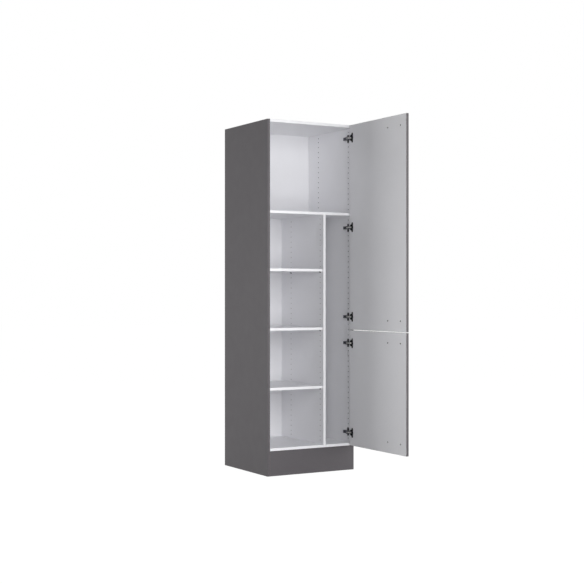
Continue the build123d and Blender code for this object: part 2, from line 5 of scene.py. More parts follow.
import bpy
import mathutils
import numpy as np
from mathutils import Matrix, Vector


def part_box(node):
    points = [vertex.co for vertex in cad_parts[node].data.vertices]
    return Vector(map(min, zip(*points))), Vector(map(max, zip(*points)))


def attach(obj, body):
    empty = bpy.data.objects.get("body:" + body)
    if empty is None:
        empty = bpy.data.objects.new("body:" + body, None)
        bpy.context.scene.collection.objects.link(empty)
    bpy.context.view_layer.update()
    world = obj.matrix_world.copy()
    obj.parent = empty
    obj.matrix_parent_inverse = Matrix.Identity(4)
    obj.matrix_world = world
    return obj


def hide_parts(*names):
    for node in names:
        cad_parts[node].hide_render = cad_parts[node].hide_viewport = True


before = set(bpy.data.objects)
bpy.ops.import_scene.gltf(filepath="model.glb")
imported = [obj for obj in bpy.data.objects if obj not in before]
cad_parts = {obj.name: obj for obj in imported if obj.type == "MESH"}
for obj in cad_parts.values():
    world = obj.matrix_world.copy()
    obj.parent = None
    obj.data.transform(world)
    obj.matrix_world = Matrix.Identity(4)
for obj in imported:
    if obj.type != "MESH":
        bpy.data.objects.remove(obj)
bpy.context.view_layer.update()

bl_info = {
    "name": "Utility Cabinet",
    "version": (1, 0, 0),
    "blender": (4, 5, 0),
    "location": "3D View > Sidebar > Cabinet",
    "description": "Dresses the cabinet frame with boards, hinges, handles and a studio stage",
    "category": "Object",
}

MM = 0.001


def size_of(node):
    """Low and high corner of a frame node, in millimetres."""
    low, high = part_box(node)
    return np.array(low) / MM, np.array(high) / MM


# Boards, as the frame has them; all sizes down to the screws are in millimetres
SIDE_LOW, SIDE_HIGH = size_of("right_side_panel")
DIVIDER_LOW, DIVIDER_HIGH = size_of("centre_divider")
FIXED_LOW, FIXED_HIGH = size_of("fixed_shelf")
BACK_LOW, BACK_HIGH = size_of("back_panel")
DOOR_LOW, DOOR_HIGH = size_of("upper_door_panel")
BASE_Z = size_of("bottom_panel")[0][2]
BOARD_THICK = SIDE_HIGH[0] - SIDE_LOW[0]
GROOVE_CLEAR = 0.2
GROOVE_DEEP = BACK_HIGH[0] - SIDE_LOW[0] + GROOVE_CLEAR

# Shelf rows: even steps between a first and a last hole that are set in from the carcass ends
PITCH = 32.0
ROW_END = 40.0
ROW_CLEAR = 3.0
ROW_Y = (37.0, 389.0)
ROW_Z = np.concatenate([[BASE_Z + ROW_END],
                        np.arange(BASE_Z + 2 * PITCH, SIDE_HIGH[2] - 1.5 * PITCH, PITCH),
                        [SIDE_HIGH[2] - ROW_END]])

# Bores: radius, depth, half of the square tile round the hole, width of the broken mouth
ROW_BORE = (2.5, 11.0, 8.0, 0.7)
CUP_BORE = (17.6, 12.3, 19.2, 0.2)
CUP_SCREW_BORE = (1.7, 11.0, 2.5, 0.2)
HANDLE_BORE = (2.3, 12.0, 6.0, 0.2)
SPARE_BORE = (2.5, 12.0, 6.0, 2.0)

# Hinges: height of each by its number, then the cup with its ears, the plate and the arm
HINGE_Z = {"lower": {1: 228.0, 2: 772.0}, "upper": {3: 932.0, 4: 1476.0, 5: 2020.0}}
CUP_SET, CUP_R, CUP_IN_R, CUP_DEEP = 21.5, 17.5, 16.4, 12.2
CUP_RIM = ((0.6, 0.0), (0.1, 0.3), (0.0, 0.9))  # out from the inner wall, down from the flange
CUP_CORNER = ((0.0, 1.6), (1.2, 0.6))  # in from the inner wall, up from the base
FLANGE_R, FLANGE_THICK, FLANGE_SOFT = 19.0, 1.2, 0.4
EAR_R, EAR_SET, EAR_SPAN = 7.5, 9.5, 45.0
PLATE_THICK = 2.2
ARM_TOP = 20.0
ARM_SCREW_Y = (37.0, 53.0)

# Handles: holes from the hinge edge and above the floor, then the bow
HANDLE_P = (410.0, 538.0)
HANDLE_Z = {"lower": 788.0, "upper": 916.0}
SPARE_Z = {"lower": 212.0, "upper": 2036.0}
HANDLE_FOOT, HANDLE_BAR = 10.0, 7.0
HANDLE_OUT_R, HANDLE_IN_R, HANDLE_SOFT = 16.0, 9.0, 2.2

# Screws: radius and height of the head, radius and length of the shank
CUP_SCREW = ((4.0, 1.6), (1.7, 12.0))
PLATE_SCREW = ((4.0, 1.6), (2.4, 12.0))
ARM_SCREW = ((3.8, 1.5), (2.4, 5.9))
HANDLE_SCREW = ((4.0, 2.4), (1.9, 23.9))
SCREW_TWIST = 2.4  # radians from one screw's stop to the next one's

# Shares of a screw's own sizes: narrowed tip, rings and edge of the crown, bars of the cross recess
TIP_R, TIP_START = 0.6, 0.85
CROWN = np.array([1.0, 0.97, 0.86, 0.7, 0.56, 0.44, 0.3, 0.16, 0.05])
CROWN_EDGE, CROWN_SPAN = 0.45, 0.995
RECESS_REACH, RECESS_WIDE, RECESS_DEEP = 0.6, 0.17, 0.5

# Fineness: sides of full circles, points on quarter circles, tries along a ray, decimals of a welded point
BORE_SIDES, FINE_SIDES, SCREW_SIDES, FLANGE_SIDES = 12, 48, 24, 96
EDGE_STEPS, SECTION_STEPS, BOW_STEPS = 4, 5, 9
FLANGE_TRIES = 240
WIDE_BORE = 5.0  # bores with a larger radius get the finer circle
WELD_PLACES = 4
SHARP_ANGLE = math.radians(40)

# Material numbers along a rounded profile: front, its two round edges and the far face
FACED = [0] * 2 * EDGE_STEPS

# Stage: film width in millimetres, then reaches in metres and the floor's own light
FILM_WIDE, VIEW_END, FLOOR_REACH = 36.0, 100.0, 30.0
FLOOR_GLOW, GLOW_SHARE = 1.1, 0.9

# Lamps: name, place, point aimed at, width and height in metres, power in watts
LAMPS = (
    ("Wide front softbox", (0.0, -4.5, 1.6), (0, 0, 1.1), (8.0, 3.2), 258.0),
    ("Rear left softbox", (-4.4, 2.6, 1.0), (0, 0, 0.9), (2.0, 2.0), 52.0),
    ("Rear right softbox", (2.4, 3.4, 4.2), (0, 0.3, 1.5), (3.0, 3.0), 190.0),
)

# Melamine: lighter tone of the grey and darker tone of the white, as shares, and the change of its gloss
CLOUD_LIGHT, CLOUD_DARK = 1.08, 0.98
RUB_CHANGE = 0.06

FINISH_NAMES = {
    "grey": "Grey melamine", "white": "White melamine", "chip": "Raw chipboard",
    "drilled": "Chipboard with painted bore shade", "pale": "Pale drilled chipboard", "hard": "Brown hardboard",
    "black": "Black-plated steel", "dark": "Dark-plated steel", "nickel": "Bright nickel plate",
    "brushed": "Brushed stainless steel", "nylon": "Dark moulded nylon", "beech": "Turned beech",
}


# Colours and nodes

def linear(hex_code):
    """Linear RGBA of an sRGB hex colour: v/12.92 below 0.04045, else ((v + 0.055)/1.055)^2.4."""
    values = [int(hex_code[i:i + 2], 16) / 255 for i in (1, 3, 5)]
    return tuple(v / 12.92 if v <= 0.04045 else ((v + 0.055) / 1.055) ** 2.4 for v in values) + (1.0,)


def shade(hex_code, factor):
    """A hex colour made lighter or darker in sRGB by a factor."""
    values = [min(255, round(int(hex_code[i:i + 2], 16) * factor)) for i in (1, 3, 5)]
    return "#" + "".join(f"{v:02x}" for v in values)


def per_mm(size):
    """Texture scale, in Object coordinates, that makes one cell of a pattern so many millimetres long."""
    return 1.0 / (size * MM)


def add(tree, kind, links=(), **settings):
    """Add a node. Settings name its properties or, as numbers or words, its input sockets."""
    node = tree.nodes.new(kind)
    for key, value in settings.items():
        if hasattr(node, key):
            setattr(node, key, value)
        else:
            node.inputs[key.replace("_", " ")].default_value = value
    for socket, source in links:
        tree.links.new(source, node.inputs[socket])
    return node


def new_material(name):
    """An empty material: its node tree, its Principled surface and Object coordinates."""
    material = bpy.data.materials.new(name)
    material.use_nodes = True
    tree = material.node_tree
    tree.nodes.clear()
    output = add(tree, "ShaderNodeOutputMaterial")
    surface = add(tree, "ShaderNodeBsdfPrincipled")
    tree.links.new(surface.outputs[0], output.inputs[0])
    place = add(tree, "ShaderNodeTexCoord").outputs["Object"]
    return tree, surface, place


def two_tone(tree, surface, factor, dark, light):
    """Blend two hex colours by a factor and set them as the surface colour."""
    mix = add(tree, "ShaderNodeMix", data_type="RGBA")
    tree.links.new(factor, mix.inputs["Factor"])
    mix.inputs["A"].default_value = linear(dark)
    mix.inputs["B"].default_value = linear(light)
    tree.links.new(mix.outputs["Result"], surface.inputs["Base Color"])


def relief(tree, surface, height, depth_mm, edge_mm=0.0):
    """Bump of the given depth from a height socket, over edges that catch the light as if rounded."""
    bump = add(tree, "ShaderNodeBump", [("Height", height)], Distance=depth_mm * MM, Strength=1.0)
    if edge_mm:
        rounded = add(tree, "ShaderNodeBevel", samples=8, Radius=edge_mm * MM)
        tree.links.new(rounded.outputs[0], bump.inputs["Normal"])
    tree.links.new(bump.outputs[0], surface.inputs["Normal"])


def melamine(name, dark, light, roughness):
    """Resin-soaked paper on board: even colour, faint clouding, and a pearl that softens the gloss."""
    tree, surface, place = new_material(name)
    cloud = add(tree, "ShaderNodeTexNoise", [("Vector", place)], Scale=per_mm(180), Detail=3.0)
    two_tone(tree, surface, cloud.outputs["Fac"], dark, light)
    # The real pearl is about 0.3 mm; drawn at 0.9 mm so that it shows
    pearl = add(tree, "ShaderNodeTexNoise", [("Vector", place)], Scale=per_mm(0.9), Detail=1.0)
    relief(tree, surface, pearl.outputs["Fac"], depth_mm=0.05)
    rub = add(tree, "ShaderNodeTexNoise", [("Vector", place)], Scale=per_mm(60), Detail=4.0)
    gloss = add(tree, "ShaderNodeMapRange", [("Value", rub.outputs["Fac"])],
                To_Min=roughness - RUB_CHANGE, To_Max=roughness + RUB_CHANGE)
    tree.links.new(gloss.outputs[0], surface.inputs["Roughness"])


def chipboard(name, dark, light):
    """Glued wood flakes without gloss: tan on a sawn edge; near black in a drilled hole, as painted shade;
    pale grey in the divider's holes.
    """
    tree, surface, place = new_material(name)
    flakes = add(tree, "ShaderNodeTexVoronoi", [("Vector", place)], Scale=per_mm(2.2), Randomness=1.0)
    tone = add(tree, "ShaderNodeSeparateColor", [("Color", flakes.outputs["Color"])])
    two_tone(tree, surface, tone.outputs[0], dark, light)
    relief(tree, surface, flakes.outputs["Distance"], depth_mm=0.3)
    surface.inputs["Roughness"].default_value = 0.9


def hardboard(name, dark, light):
    """Pressed wood fibre with the mark of the press screen on its rough side."""
    tree, surface, place = new_material(name)
    fibre = add(tree, "ShaderNodeTexNoise", [("Vector", place)], Scale=per_mm(5), Detail=6.0)
    two_tone(tree, surface, fibre.outputs["Fac"], dark, light)
    screen = add(tree, "ShaderNodeTexVoronoi", [("Vector", place)], Scale=per_mm(2.0), Randomness=0.0)
    relief(tree, surface, screen.outputs["Distance"], depth_mm=0.25)
    surface.inputs["Roughness"].default_value = 0.85


def plated_steel(name, dark, light, roughness, grain_mm):
    """Stamped steel with a plated coat: metal sheen broken by fine rolling and handling marks."""
    tree, surface, place = new_material(name)
    marks = add(tree, "ShaderNodeTexNoise", [("Vector", place)], Scale=per_mm(grain_mm), Detail=4.0)
    two_tone(tree, surface, marks.outputs["Fac"], dark, light)
    relief(tree, surface, marks.outputs["Fac"], depth_mm=0.02, edge_mm=0.35)
    surface.inputs["Metallic"].default_value = 1.0
    surface.inputs["Roughness"].default_value = roughness


def brushed_steel(name, dark, light):
    """Steel brushed along its length: long fine lines that stretch the highlights."""
    tree, surface, place = new_material(name)
    stretch = add(tree, "ShaderNodeMapping", [("Vector", place)], Scale=(1.0, 0.03, 1.0))
    lines = add(tree, "ShaderNodeTexNoise", [("Vector", stretch.outputs[0])], Scale=per_mm(0.4), Detail=2.0)
    two_tone(tree, surface, lines.outputs["Fac"], dark, light)
    relief(tree, surface, lines.outputs["Fac"], depth_mm=0.01)
    surface.inputs["Metallic"].default_value = 1.0
    surface.inputs["Roughness"].default_value = 0.3


def moulded_plastic(name, dark, light):
    """Glass-filled nylon: slightly speckled and softly glossy."""
    tree, surface, place = new_material(name)
    speck = add(tree, "ShaderNodeTexNoise", [("Vector", place)], Scale=per_mm(0.8), Detail=2.0)
    two_tone(tree, surface, speck.outputs["Fac"], dark, light)
    relief(tree, surface, speck.outputs["Fac"], depth_mm=0.02)
    surface.inputs["Roughness"].default_value = 0.5


def turned_wood(name, dark, light):
    """Pale turned wood with short darker flecks."""
    tree, surface, place = new_material(name)
    fleck = add(tree, "ShaderNodeTexNoise", [("Vector", place)], Scale=per_mm(2.5), Detail=4.0)
    two_tone(tree, surface, fleck.outputs["Fac"], dark, light)
    relief(tree, surface, fleck.outputs["Fac"], depth_mm=0.05)
    surface.inputs["Roughness"].default_value = 0.7


def make_finishes():
    """Make all materials of the cabinet."""
    chosen = bpy.context.scene.cabinet_finish
    melamine(FINISH_NAMES["grey"], chosen.grey, shade(chosen.grey, CLOUD_LIGHT), roughness=0.5)
    melamine(FINISH_NAMES["white"], shade(chosen.white, CLOUD_DARK), chosen.white, roughness=0.42)
    chipboard(FINISH_NAMES["chip"], "#8a6a47", "#c9a777")
    # Near-black walls for the holes of the sides and doors: painted shade in the holes
    chipboard(FINISH_NAMES["drilled"], "#15100c", "#281f18")
    chipboard(FINISH_NAMES["pale"], "#8a8781", "#b4b0aa")
    hardboard(FINISH_NAMES["hard"], "#6d5138", "#8f7151")
    plated_steel(FINISH_NAMES["black"], "#0e0e10", "#1b1b1e", roughness=0.42, grain_mm=3.0)
    plated_steel(FINISH_NAMES["dark"], "#414147", "#5e5e65", roughness=0.34, grain_mm=3.0)
    plated_steel(FINISH_NAMES["nickel"], "#c9c7c2", "#e2e1dd", roughness=0.32, grain_mm=2.0)
    brushed_steel(FINISH_NAMES["brushed"], "#8f8f8d", "#c6c6c3")
    moulded_plastic(FINISH_NAMES["nylon"], "#232325", "#3a3a3c")
    turned_wood(FINISH_NAMES["beech"], "#b98d5d", "#dcbb8b")


def finish(key):
    """One material by its short name. The first call makes them all."""
    if FINISH_NAMES["chip"] not in bpy.data.materials:
        make_finishes()
    return bpy.data.materials[FINISH_NAMES[key]]


def paint(nodes, key):
    """Give frame nodes one material."""
    for node in nodes:
        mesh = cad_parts[node].data
        mesh.materials.clear()
        mesh.materials.append(finish(key))


# Surfaces worked out as arrays

def build_mesh(name, parts, keys, body, nodes, smooth=False):
    """One object from (points in mm, faces, material number) parts, on a body in place of frame nodes."""
    points = np.concatenate([part[0] for part in parts])
    starts = np.cumsum([0] + [len(part[0]) for part in parts[:-1]])
    # Points that fall on one another are welded
    points, index = np.unique(points.round(WELD_PLACES), axis=0, return_inverse=True)
    index = index.ravel()
    faces, slots = [], []
    for start, (_, part_faces, slot) in zip(starts, parts):
        faces += [index[np.array(face) + start].tolist() for face in part_faces]
        slots += [slot] * len(part_faces)
    mesh = bpy.data.meshes.new(name)
    mesh.from_pydata((points * MM).tolist(), [], faces)
    mesh.polygons.foreach_set("material_index", np.array(slots, dtype=np.int32))
    if smooth:
        mesh.polygons.foreach_set("use_smooth", np.ones(len(faces), dtype=bool))
        mesh.set_sharp_from_angle(angle=SHARP_ANGLE)
    mesh.update()
    for key in keys:
        mesh.materials.append(finish(key))
    piece = bpy.data.objects.new(name, mesh)
    bpy.context.scene.collection.objects.link(piece)
    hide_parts(*nodes)
    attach(piece, body)


def loop_faces(rows, columns):
    """Quads of a grid of points whose columns are joined into a ring."""
    i, j = np.meshgrid(np.arange(rows - 1), np.arange(columns), indexing="ij")
    k = (j + 1) % columns
    above = i + 1
    quads = [i * columns + j, i * columns + k, above * columns + k, above * columns + j]
    return np.stack(quads, axis=-1).reshape(-1, 4).tolist()


def flip(faces):
    """The same faces seen from the other side."""
    return [tuple(reversed(face)) for face in faces]


def turned(radii, heights, sides, start=0.0):
    """Rings of a turned piece as one grid of (u, v, height) points: r(cos t, sin t) at each height.

    A radius is one number, or one for each side.
    """
    turn = (np.arange(sides) + start) * 2 * np.pi / sides
    radii = np.array([np.broadcast_to(radius, sides) for radius in radii])
    heights = np.array(heights)[:, None]
    return np.stack([radii * np.cos(turn), radii * np.sin(turn), heights + 0 * turn], axis=-1)


def closed_rings(rings, place):
    """Part of a mesh: a stack of rings with a flat face at each end."""
    rows, columns = rings.shape[:2]
    last = (rows - 1) * columns
    ends = [tuple(reversed(range(columns))), tuple(range(last, last + columns))]
    return place(rings.reshape(-1, 3)), loop_faces(rows, columns) + ends, 0


def stitched(outer, inner, outer_points, inner_points):
    """Triangles between two rings of points about one centre, taken in order of the angle of their edges.

    Outer and inner are the rings' angles, rising, and the points are numbers of points.
    """
    def middles(angles):
        return (angles + np.append(angles[1:], angles[0] + 2 * np.pi)) / 2

    outer_middle, inner_middle = middles(outer), middles(inner)
    facing_in = np.searchsorted(inner_middle, outer_middle) % len(inner)
    facing_out = np.searchsorted(outer_middle, inner_middle, side="right") % len(outer)
    wide = np.stack([outer_points, np.roll(outer_points, -1), inner_points[facing_in]], axis=1)
    narrow = np.stack([np.roll(inner_points, -1), inner_points, outer_points[facing_out]], axis=1)
    return np.vstack([wide, narrow]).tolist()


def bored_face(span_u, span_v, bores, place, mirrored, face_slot, bore_slot):
    """Flat rectangle with round blind holes, as one closed net of faces.

    The edges of the holes' square tiles, carried right across, make a grid. Triangles join each tile's edge
    to the mouth of its hole, and four strips join the grid to the rectangle's corners. A hole is three rings
    r(cos t, sin t): mouth at the face, throat, floor. A bore is (u, v, radius, depth, half tile, mouth), and
    place maps (u, v, height) to x, y, z.
    """
    tiles = np.array([(u, v, half) for u, v, _, _, half, _ in bores])
    cuts_u, cuts_v = [
        np.unique(np.round([tiles[:, axis] - tiles[:, 2], tiles[:, axis] + tiles[:, 2]], WELD_PLACES))
        for axis in (0, 1)]
    number = np.arange(len(cuts_u) * len(cuts_v)).reshape(len(cuts_u), len(cuts_v))
    grid = np.stack(np.meshgrid(cuts_u, cuts_v, indexing="ij"), axis=-1).reshape(-1, 2)
    outline = [(span_u[0], span_v[0]), (span_u[1], span_v[0]), (span_u[1], span_v[1]), (span_u[0], span_v[1])]
    count = len(grid) + len(outline)
    points = [np.column_stack([np.vstack([grid, outline]), np.zeros(count)])]
    corner = len(grid) + np.arange(len(outline))
    borders = [number[::-1, 0], number[-1, ::-1], number[:, -1], number[0, :]]
    face_faces = [[start, end, *border] for start, end, border in zip(corner, np.roll(corner, -1), borders)]
    bore_faces = []
    plain = np.ones((len(cuts_u) - 1, len(cuts_v) - 1), dtype=bool)
    for u, v, radius, depth, half, mouth in bores:
        i, i_end = np.searchsorted(cuts_u, np.round([u - half, u + half], WELD_PLACES))
        j, j_end = np.searchsorted(cuts_v, np.round([v - half, v + half], WELD_PLACES))
        plain[i:i_end, j:j_end] = False
        edge = np.concatenate([number[i:i_end, j], number[i_end, j:j_end],
                               number[i_end:i:-1, j_end], number[i, j_end:j:-1]])
        angle = np.arctan2(grid[edge, 1] - v, grid[edge, 0] - u) % (2 * np.pi)
        order = np.argsort(angle)
        sides = FINE_SIDES if radius > WIDE_BORE else BORE_SIDES
        turn = (np.arange(sides) + 0.5) * 2 * np.pi / sides
        rings = turned([radius + mouth, radius, radius], [0.0, -mouth, -depth], sides, start=0.5)
        rings[..., :2] += (u, v)
        points.append(rings.reshape(-1, 3))
        face_faces += stitched(angle[order], turn, edge[order], count + np.arange(sides))
        bore_faces += (np.array(loop_faces(len(rings), sides)) + count).tolist()
        count += len(rings) * sides
        bore_faces.append(list(range(count - sides, count)))
    cells = np.stack([number[:-1, :-1], number[1:, :-1], number[1:, 1:], number[:-1, 1:]], axis=-1)
    face_faces += cells[plain].tolist()
    points = place(np.vstack(points))
    turn_over = flip if mirrored else list
    return [(points, turn_over(face_faces), face_slot), (points, turn_over(bore_faces), bore_slot)]


def rounded_profile(width, depth, radius):
    """Rectangle from (0, 0) to (width, depth) with its two corners at depth 0 rounded by quarter circles."""
    turn = np.linspace(0, np.pi / 2, EDGE_STEPS)
    left = np.stack([radius - radius * np.cos(turn), radius - radius * np.sin(turn)], axis=1)
    right = np.stack([width - radius + radius * np.sin(turn), radius - radius * np.cos(turn)], axis=1)
    return np.vstack([left, right, [(width, depth), (0, depth)]])


def board(profile, run, place, slots, end_slot, open_side=None):
    """Prism: a closed profile (a, b) carried from run[0] to run[1].

    Slots gives each side's material number, and an open side gets no face.
    """
    count = len(profile)
    ends = [np.column_stack([profile, np.full(count, value)]) for value in run]
    points = place(np.vstack(ends))
    parts = []
    for side in range(count):
        if side != open_side:
            after = (side + 1) % count
            parts.append((points, [(side, after, count + after, count + side)], slots[side]))
    parts.append((points, [tuple(reversed(range(count))), tuple(range(count, 2 * count))], end_slot))
    return parts


def row_bores(rows, clear_of):
    """Bores of the shelf rows, at Y and Z, left out where a board covers them."""
    return [(y, z, *ROW_BORE) for y, zs in rows for z in zs
            if all(z < low - ROW_CLEAR or z > high + ROW_CLEAR for low, high in clear_of)]


def door_side(x, y, z):
    """Placing of (u, v, height) points: u towards the front, v up, height away from the face at x."""
    def placed(points):
        return np.column_stack([x - points[:, 2], y - points[:, 0], z + points[:, 1]])
    return placed


def screw(place, head, shank, twist):
    """Pan-head screw with a cross recess; head and shank are (radius, length).

    The crown is h = H(c + (1 - c) sqrt(1 - (r/R)^2)) with its edge at cH, lowered inside two crossed bars.
    """
    (head_r, head_high), (shank_r, shank_long) = head, shank
    crown = head_high * (CROWN_EDGE + (1 - CROWN_EDGE) * np.sqrt(1 - (CROWN * CROWN_SPAN) ** 2))
    stem_radii = [shank_r * TIP_R, shank_r, shank_r, head_r]
    stem_heights = [-shank_long, -shank_long * TIP_START, 0.0, 0.0]
    radii = np.concatenate([stem_radii, CROWN * head_r])
    rings = turned(radii, np.concatenate([stem_heights, crown]), SCREW_SIDES)
    along, across = np.abs(rings[..., 0]), np.abs(rings[..., 1])
    reach, wide = RECESS_REACH * head_r, RECESS_WIDE * head_r
    recess = ((along < wide) & (across < reach)) | ((across < wide) & (along < reach))
    first = len(stem_radii)
    rings[first:, :, 2] -= RECESS_DEEP * head_high * recess[first:]
    cos, sin = math.cos(twist), math.sin(twist)
    rings[..., :2] = rings[..., :2] @ np.array([[cos, sin], [-sin, cos]])
    return closed_rings(rings, place)


def add_screws(node, body, key, places, face_x, head, shank):
    """All screws of one frame node, at (Y, Z) places on a face at x, each stopped at another angle."""
    parts = [screw(door_side(face_x, y, z), head, shank, SCREW_TWIST * number)
             for number, (y, z) in enumerate(places)]
    build_mesh(f"{node}_turned", parts, [key], body, [node], smooth=True)


def cup_flange():
    """Reach of a flange from the cup's centre: r(t) is the farther of a disc and a round-ended plate."""
    turn = np.arange(FLANGE_SIDES) * 2 * np.pi / FLANGE_SIDES
    reach = np.linspace(FLANGE_R, 2 * FLANGE_R, FLANGE_TRIES)[:, None]
    u, v = reach * np.cos(turn) - EAR_SET, reach * np.sin(turn)
    inside = np.hypot(u, np.maximum(np.abs(v) - EAR_SPAN / 2, 0)) < EAR_R
    return np.where(inside, reach, FLANGE_R).max(axis=0)


def bow_path(start, end, rise, radius):
    """Plan path (x, y) of a bow from start to end along y, with rise along x and two round corners."""
    turn = np.linspace(0, np.pi / 2, BOW_STEPS)
    first = np.stack([rise - radius + radius * np.sin(turn), start + radius - radius * np.cos(turn)], axis=1)
    second = np.stack([first[::-1, 0], start + end - first[::-1, 1]], axis=1)
    return np.vstack([[(0.0, start)], first, second, [(0.0, end)]])


def seen_rays(tree):
    """Factor that is 1 for camera, glossy and transmission rays."""
    path = add(tree, "ShaderNodeLightPath")
    links = [(0, path.outputs["Is Camera Ray"]), (1, path.outputs["Is Glossy Ray"])]
    first = add(tree, "ShaderNodeMath", links, operation="MAXIMUM")
    links = [(0, first.outputs[0]), (1, path.outputs["Is Transmission Ray"])]
    return add(tree, "ShaderNodeMath", links, operation="MAXIMUM").outputs[0]


# Settings and operators

class CabinetFinish(bpy.types.PropertyGroup):
    """Colours and small sizes of the boards."""

    grey: bpy.props.StringProperty(
        name="Outside Grey", description="Colour of the outer melamine, as a hex value", default="#494549")
    white: bpy.props.StringProperty(
        name="Inside White", description="Colour of the inner melamine, as a hex value", default="#f5f5f8")
    lipping: bpy.props.FloatProperty(
        name="Edge Radius", description="Rounding of the lipped board edges", default=0.8 * MM, unit="LENGTH")


class CabinetStage(bpy.types.PropertyGroup):
    """Camera and light."""

    eye: bpy.props.FloatVectorProperty(
        name="Camera", description="Place of the camera", default=(-3.7424, -6.2478, 1.083),
        subtype="TRANSLATION")
    turn: bpy.props.FloatProperty(
        name="Turn", description="Camera turn from straight ahead", default=math.radians(-30),
        subtype="ANGLE")
    lens: bpy.props.FloatProperty(name="Lens", description="Focal length in millimetres", default=75.0)
    sky: bpy.props.FloatProperty(name="Fill", description="Strength of the even light", default=0.03)
    key: bpy.props.FloatProperty(name="Lamps", description="Share of the lamps' full power", default=1.0)


class CABINET_OT_side_panels(bpy.types.Operator):
    """Side panels and divider, with rounded front edges and round shelf-pin holes"""

    bl_idname = "cabinet.side_panels"
    bl_label = "Side Panels"

    def execute(self, context):
        radius = context.scene.cabinet_finish.lipping / MM
        covers = [(FIXED_LOW[2], FIXED_HIGH[2])]
        groove = (BACK_LOW[1] - GROOVE_CLEAR, BACK_HIGH[1] + GROOVE_CLEAR)
        notch = [(0, groove[1]), (GROOVE_DEEP, groove[1]), (GROOVE_DEEP, groove[0]), (0, groove[0])]
        profile = np.vstack([rounded_profile(BOARD_THICK, SIDE_HIGH[1], radius), notch])
        span_z = (0, SIDE_HIGH[2])
        # After the faced sides: sawn rear edge, strip behind the groove, groove, inner face
        slots = FACED + [2, 1, 2, 2, 2, 1]
        upper_rows = ROW_Z[ROW_Z > FIXED_HIGH[2]]
        for name, sign in (("left_side_panel", -1), ("right_side_panel", 1)):
            def across(points, sign=sign):
                return np.column_stack([sign * (SIDE_LOW[0] + points[:, 0]), points[:, 1], points[:, 2]])

            def inside(points, sign=sign):
                return np.column_stack([sign * (SIDE_LOW[0] - points[:, 2]), points[:, 0], points[:, 1]])

            parts = board(profile, span_z, across, slots, end_slot=2, open_side=len(profile) - 1)
            if sign < 0:
                parts = [(points, flip(faces), slot) for points, faces, slot in parts]
            rows = [(ROW_Y[0], ROW_Z), (ROW_Y[1], ROW_Z if sign < 0 else upper_rows)]
            parts += bored_face((radius, groove[0]), span_z, row_bores(rows, covers), inside,
                                mirrored=sign > 0, face_slot=1, bore_slot=3)
            build_mesh(f"{name}_board", parts, ("grey", "white", "chip", "drilled"), "carcass", [name])

        def standing(points):
            return points + np.array([DIVIDER_LOW[0], 0, 0])

        def divider_left(points):
            return np.column_stack([DIVIDER_LOW[0] - points[:, 2], points[:, 0], points[:, 1]])

        profile = rounded_profile(BOARD_THICK, DIVIDER_HIGH[1], radius)
        span_z = (DIVIDER_LOW[2], DIVIDER_HIGH[2])
        parts = board(profile, span_z, standing, FACED + [1, 0], end_slot=1, open_side=len(profile) - 1)
        row = ROW_Z[(ROW_Z > span_z[0]) & (ROW_Z < span_z[1])]
        bores = row_bores([(y, row) for y in ROW_Y], [])
        parts += bored_face((radius, DIVIDER_HIGH[1]), span_z, bores, divider_left,
                            mirrored=True, face_slot=0, bore_slot=2)
        build_mesh("centre_divider_board", parts, ("white", "chip", "pale"), "carcass", ["centre_divider"])
        return {"FINISHED"}


class CABINET_OT_cross_boards(bpy.types.Operator):
    """Top, bottom, fixed and adjustable shelves, plinth and back"""

    bl_idname = "cabinet.cross_boards"
    bl_label = "Shelves, Plinth and Back"

    def execute(self, context):
        radius = context.scene.cabinet_finish.lipping / MM
        whites = ["top_panel", "bottom_panel", "fixed_shelf"] + [f"adjustable_shelf_{n}" for n in (1, 2, 3)]
        for name in whites + ["plinth_panel"]:
            low, high = size_of(name)

            def lying(points, low=low, high=high):
                return np.column_stack([points[:, 2], low[1] + points[:, 1], high[2] - points[:, 0]])

            profile = rounded_profile(high[2] - low[2], high[1] - low[1], radius)
            parts = board(profile, (low[0], high[0]), lying, FACED + [1, 0], end_slot=1)
            face = "grey" if name == "plinth_panel" else "white"
            build_mesh(f"{name}_board", parts, (face, "chip"), "carcass", [name])

        low, high = BACK_LOW, BACK_HIGH
        flat = np.array([(low[0], low[1]), (high[0], low[1]), (high[0], high[1]), (low[0], high[1])])
        parts = board(flat, (low[2], high[2]), lambda points: points, [0, 1, 1, 1], end_slot=1)
        build_mesh("back_panel_board", parts, ("white", "hard"), "carcass", ["back_panel"])
        paint(["wooden_dowels"], "beech")
        paint(["shelf_pins"], "nylon")
        return {"FINISHED"}


